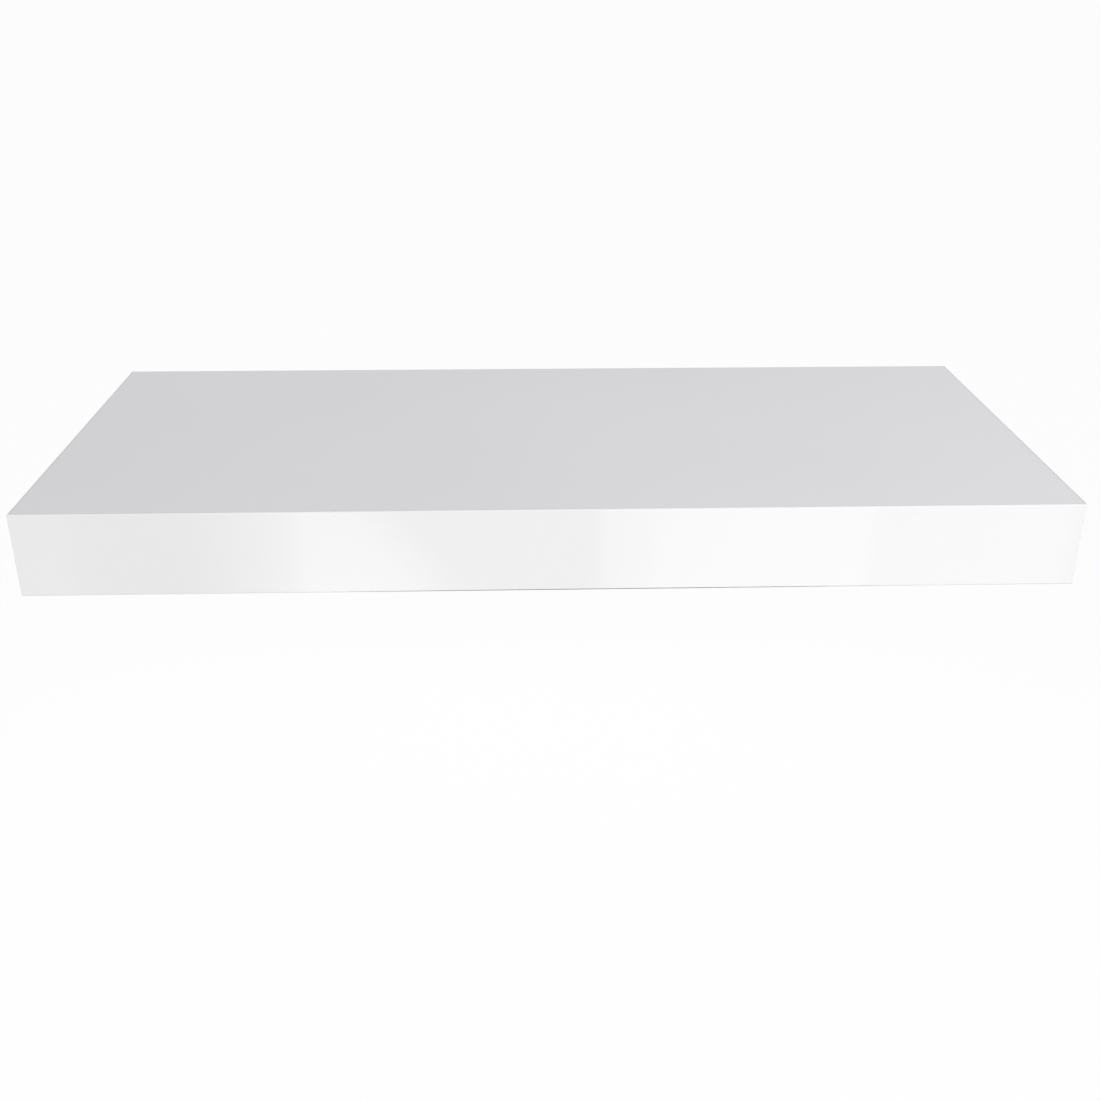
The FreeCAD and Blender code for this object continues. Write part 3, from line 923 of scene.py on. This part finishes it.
def board_middle():
    """The middle of the part's box."""
    return (Vector(cad_box[0]) + Vector(cad_box[1])) / 2


def facing(centre, aim):
    """Turns a rectangle in the XY plane to face a point from a centre."""
    return Matrix.Translation(centre) @ (aim - centre).to_track_quat("-Z", "Y").to_matrix().to_4x4()


def softbox(name, centre, size, radiance, colour=WHITE):
    """A rectangular lamp of even radiance that faces the board's middle and shows in no reflection."""
    lamp = bpy.data.lights.new(name, "AREA")
    lamp.shape = "RECTANGLE"
    lamp.size, lamp.size_y = size
    lamp.color = colour
    lamp.energy = radiance * math.pi * size[0] * size[1]
    holder = bpy.data.objects.new(name, lamp)
    holder.matrix_world = facing(centre, board_middle())
    holder.visible_camera = False
    holder.visible_glossy = False
    bpy.context.scene.collection.objects.link(holder)


def card_glow():
    """The light of the cards, from the glow stored at their corners."""
    look, tree = glowing_material("card")
    strength = add(tree, "ShaderNodeAttribute", attribute_name="glow").outputs["Fac"]
    light = add(tree, "ShaderNodeEmission", {"Color": opaque(WHITE), "Strength": strength})
    add(tree, "ShaderNodeOutputMaterial", {"Surface": light.outputs["Emission"]})
    return look


def card(name, left_edge, right_edge, glow, look):
    """A card seen only in reflections: its edges are points from the foot up, each with the glow there."""
    mesh = bpy.data.meshes.new(name)
    steps = len(left_edge)
    faces = [(k, steps + k, steps + k + 1, k + 1) for k in range(steps - 1)]
    mesh.from_pydata(left_edge + right_edge, [], faces)
    stored = mesh.attributes.new("glow", "FLOAT", "POINT")
    for point, value in zip(stored.data, glow):
        point.value = value
    mesh.materials.append(look)
    holder = bpy.data.objects.new(name, mesh)
    holder.visible_camera = False
    holder.visible_diffuse = False
    holder.visible_transmission = False
    holder.visible_shadow = False
    bpy.context.scene.collection.objects.link(holder)


def front_card(look, name, left, right, glow, left_lean, right_lean):
    """A card that the camera sees mirrored in the board's front between two edges.

    It stands beyond the front by CARD_ROW times the way from the mirrored camera to the front.
    """
    front_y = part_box("front_edge_band")[0].y
    mirrored_camera = Vector((CAMERA_PLACE.x, 2 * front_y - CAMERA_PLACE.y, CAMERA_PLACE.z))
    heights = (CARD_FOOT, -CARD_LEAN_REACH, CARD_LEAN_REACH, CARD_HEAD)
    gains = (CARD_FOOT_GAIN, CARD_FOOT_GAIN, 1.0, 1.0)

    def beyond(x, lean, z):
        leaning = lean * max(-CARD_LEAN_REACH, min(CARD_LEAN_REACH, z))
        return mirrored_camera + CARD_ROW * (Vector((x + leaning, front_y, z)) - mirrored_camera)

    left_edge = [beyond(left, left_lean, z) for z in heights]
    right_edge = [beyond(right, right_lean, z) for z in heights]
    card(name, left_edge, right_edge, [value * gain for value in glow for gain in gains], look)


def front_cards(look):
    """The row of cards in front, each from the right edge of the one before it."""
    left, left_lean = FRONT_CARDS_START, 0.0
    for each in FRONT_CARDS:
        right, right_lean = each["right"], each.get("right_lean", 0.0)
        front_card(look, each["name"], left, right, each["glow"], left_lean, right_lean)
        left, left_lean = right, right_lean


def paired_card(look, name, centre, size, glow):
    """The same card on both sides of the board, facing its middle."""
    half_width, half_height = size[0] / 2, size[1] / 2
    for side, flip in zip(SIDES, MIRRORS):
        turned = facing(flip * centre, board_middle())
        left_edge = [turned @ Vector((-half_width, y, 0.0)) for y in (-half_height, half_height)]
        right_edge = [turned @ Vector((half_width, y, 0.0)) for y in (-half_height, half_height)]
        left_glow, right_glow = glow
        card(f"{side}_{name}", left_edge, right_edge, [left_glow] * 2 + [right_glow] * 2, look)


def flag(look, name, left, right, glow):
    """A dim card that stands under the board, out of sight of its front, ends and top."""
    head = cad_box[0][2] - FLAG_GAP
    foot = head - FLAG_HEIGHT
    heights = (foot, foot + FLAG_FADE, head - FLAG_FADE, head)
    left_edge = [Vector((left, FLAG_Y, z)) for z in heights]
    right_edge = [Vector((right, FLAG_Y, z)) for z in heights]
    levels = [level for dim in glow for level in (BACKDROP_GLOW, dim, dim, BACKDROP_GLOW)]
    card(name, left_edge, right_edge, levels, look)


def make_lights():
    """The softboxes round the board, and the cards that its gloss reflects."""
    softbox("front_box", FRONT_BOX_PLACE, FRONT_BOX_SIZE, FRONT_BOX_RADIANCE, FRONT_BOX_COLOUR)
    softbox("key_box", KEY_PLACE, KEY_SIZE, KEY_RADIANCE)
    softbox("rear_box", REAR_BOX_PLACE, REAR_BOX_SIZE, REAR_BOX_RADIANCE)
    for side, flip in zip(SIDES, MIRRORS):
        softbox(f"{side}_end_box", flip * END_BOX_PLACE, END_BOX_SIZE, END_BOX_RADIANCE)
    look = card_glow()
    front_cards(look)
    for each in PAIRED_CARDS:
        paired_card(look, **each)
    for each in FLAGS:
        flag(look, **each)


def make_camera():
    """The photograph's viewpoint and lens."""
    data = bpy.data.cameras.new("camera")
    data.sensor_fit = "HORIZONTAL"
    data.sensor_width = SENSOR_WIDTH_MM
    data.lens = FOCAL_PX / PHOTO_PX * SENSOR_WIDTH_MM
    data.clip_end = CAMERA_REACH
    camera = bpy.data.objects.new("camera", data)
    level = Matrix.Rotation(math.radians(90), 4, "X")
    yaw = Matrix.Rotation(math.radians(CAMERA_YAW_DEG), 4, "Z")
    down = Matrix.Rotation(math.radians(-CAMERA_DOWN_DEG), 4, "X")
    roll = Matrix.Rotation(math.radians(CAMERA_ROLL_DEG), 4, "Y")
    camera.matrix_world = Matrix.Translation(CAMERA_PLACE) @ roll @ down @ yaw @ level
    bpy.context.scene.collection.objects.link(camera)
    bpy.context.scene.camera = camera


# The part and its studio


dress_board()
dress_bracket()
brass = turned_brass()
oxide = black_oxide()
weld = weld_zinc()
for side in SIDES:
    lock_screw(side, oxide)
    lock_insert(side, brass)
    weld_bead(side, weld)
make_world()
make_floor()
make_lights()
make_camera()
bpy.context.scene.view_settings.view_transform = "Standard"
